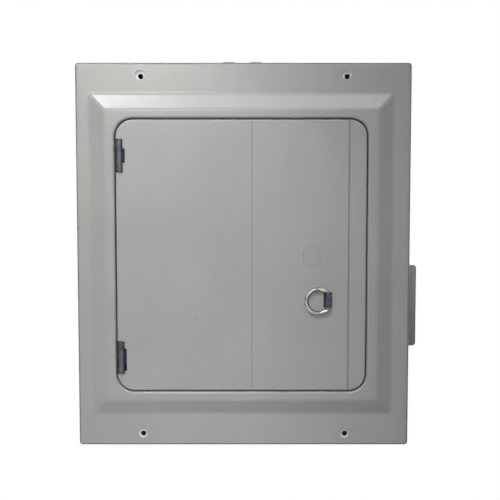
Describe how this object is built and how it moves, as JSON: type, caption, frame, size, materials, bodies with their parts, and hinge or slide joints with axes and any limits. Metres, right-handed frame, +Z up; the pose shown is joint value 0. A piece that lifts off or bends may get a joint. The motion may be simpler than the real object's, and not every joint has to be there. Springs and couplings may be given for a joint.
{
  "type": "distribution board",
  "caption": "Surface distribution board: folded steel box with a bevelled grey cover, hinged door with pull ring, and plug-in circuit breakers on bus bars behind a dead front.",
  "frame": {"origin": "middle of the box's back outer face, where it meets the wall", "axes": "+Z up along the board's height, +X to the right seen from the front, the door faces -Y"},
  "size_m": [0.3147, 0.1057, 0.3534],
  "materials": {
    "grey_paint": "semi-gloss baked paint, mid grey, with a fine orange-peel",
    "galvanised_sheet": "galvanised sheet",
    "zinc_hinge": "dull plated steel",
    "spring_steel": "dark blued spring steel",
    "bright_plate": "bright plated wire",
    "zinc_screw": "zinc plated",
    "tinned_bar": "tinned bar",
    "aluminium_bar": "extruded aluminium",
    "brass_strap": "plain brass",
    "support_moulding": "black moulding",
    "breaker_moulding": "black moulded case",
    "handle_moulding": "black moulded handle"
  },
  "bodies": {
    "enclosure": {"bonding_screw": "zinc_screw", "bonding_strap": "brass_strap", "breaker_case_1": "breaker_moulding", "breaker_case_2": "breaker_moulding", "breaker_case_3": "breaker_moulding", "breaker_case_4": "breaker_moulding", "breaker_case_5": "breaker_moulding", "breaker_case_6": "breaker_moulding", "breaker_case_7": "breaker_moulding", "breaker_case_8": "breaker_moulding", "breaker_terminal_screws": "zinc_screw", "bus_support": "support_moulding", "dead_front": "grey_paint", "dead_front_rivets": "zinc_screw", "earth_bar": "aluminium_bar", "earth_bar_screws": "zinc_screw", "earth_fixing_screws": "zinc_screw", "earth_stand_offs": "zinc_screw", "enclosure_box": "galvanised_sheet", "flange_rivets": "zinc_screw", "front_cover": "grey_paint", "hinge_frame_leaf_lower": "zinc_hinge", "hinge_frame_leaf_upper": "zinc_hinge", "hinge_pin_lower": "zinc_hinge", "hinge_pin_upper": "zinc_hinge", "interior_pan": "galvanised_sheet", "line_bus_left": "tinned_bar", "line_bus_right": "tinned_bar", "main_lug_left": "aluminium_bar", "main_lug_right": "aluminium_bar", "main_lug_screws": "zinc_screw", "neutral_bar": "aluminium_bar", "neutral_bar_screws": "zinc_screw", "neutral_fixing_screws": "zinc_screw", "neutral_stand_offs": "support_moulding", "pan_screws": "zinc_screw", "stud_flange": "galvanised_sheet"},
    "door": {"door_panel": "grey_paint", "hinge_door_leaf_upper": "zinc_hinge", "hinge_door_leaf_lower": "zinc_hinge", "latch_spring": "spring_steel"},
    "ring": {"latch_ring": "bright_plate"},
    "handle_1": {"breaker_handle_1": "handle_moulding"},
    "handle_2": {"breaker_handle_2": "handle_moulding"},
    "handle_3": {"breaker_handle_3": "handle_moulding"},
    "handle_4": {"breaker_handle_4": "handle_moulding"},
    "handle_5": {"breaker_handle_5": "handle_moulding"},
    "handle_6": {"breaker_handle_6": "handle_moulding"},
    "handle_7": {"breaker_handle_7": "handle_moulding"},
    "handle_8": {"breaker_handle_8": "handle_moulding"}
  },
  "joints": [
    {"name": "door_hinge", "type": "hinge", "parent": "enclosure", "child": "door", "pos_m": [-0.112, -0.1004, 0], "axis": [0, 0, -1], "range_deg": [0, 165]},
    {"name": "ring_swing", "type": "hinge", "parent": "door", "child": "ring", "pos_m": [0.0769, -0.10235, -0.03985], "axis": [0, 0, 1], "range_deg": [0, 170]},
    {"name": "handle_1_toggle", "type": "hinge", "parent": "enclosure", "child": "handle_1", "pos_m": [-0.039, -0.066, 0.0635], "axis": [0, 0, -1], "range_deg": [0, 26]},
    {"name": "handle_2_toggle", "type": "hinge", "parent": "enclosure", "child": "handle_2", "pos_m": [0.039, -0.066, 0.0635], "axis": [0, 0, 1], "range_deg": [0, 26]},
    {"name": "handle_3_toggle", "type": "hinge", "parent": "enclosure", "child": "handle_3", "pos_m": [-0.039, -0.066, 0.0381], "axis": [0, 0, -1], "range_deg": [0, 26]},
    {"name": "handle_4_toggle", "type": "hinge", "parent": "enclosure", "child": "handle_4", "pos_m": [0.039, -0.066, 0.0381], "axis": [0, 0, 1], "range_deg": [0, 26]},
    {"name": "handle_5_toggle", "type": "hinge", "parent": "enclosure", "child": "handle_5", "pos_m": [-0.039, -0.066, 0.0127], "axis": [0, 0, -1], "range_deg": [0, 26]},
    {"name": "handle_6_toggle", "type": "hinge", "parent": "enclosure", "child": "handle_6", "pos_m": [0.039, -0.066, 0.0127], "axis": [0, 0, 1], "range_deg": [0, 26]},
    {"name": "handle_7_toggle", "type": "hinge", "parent": "enclosure", "child": "handle_7", "pos_m": [-0.039, -0.066, -0.0127], "axis": [0, 0, -1], "range_deg": [0, 26]},
    {"name": "handle_8_toggle", "type": "hinge", "parent": "enclosure", "child": "handle_8", "pos_m": [0.039, -0.066, -0.0127], "axis": [0, 0, 1], "range_deg": [0, 26]}
  ]
}
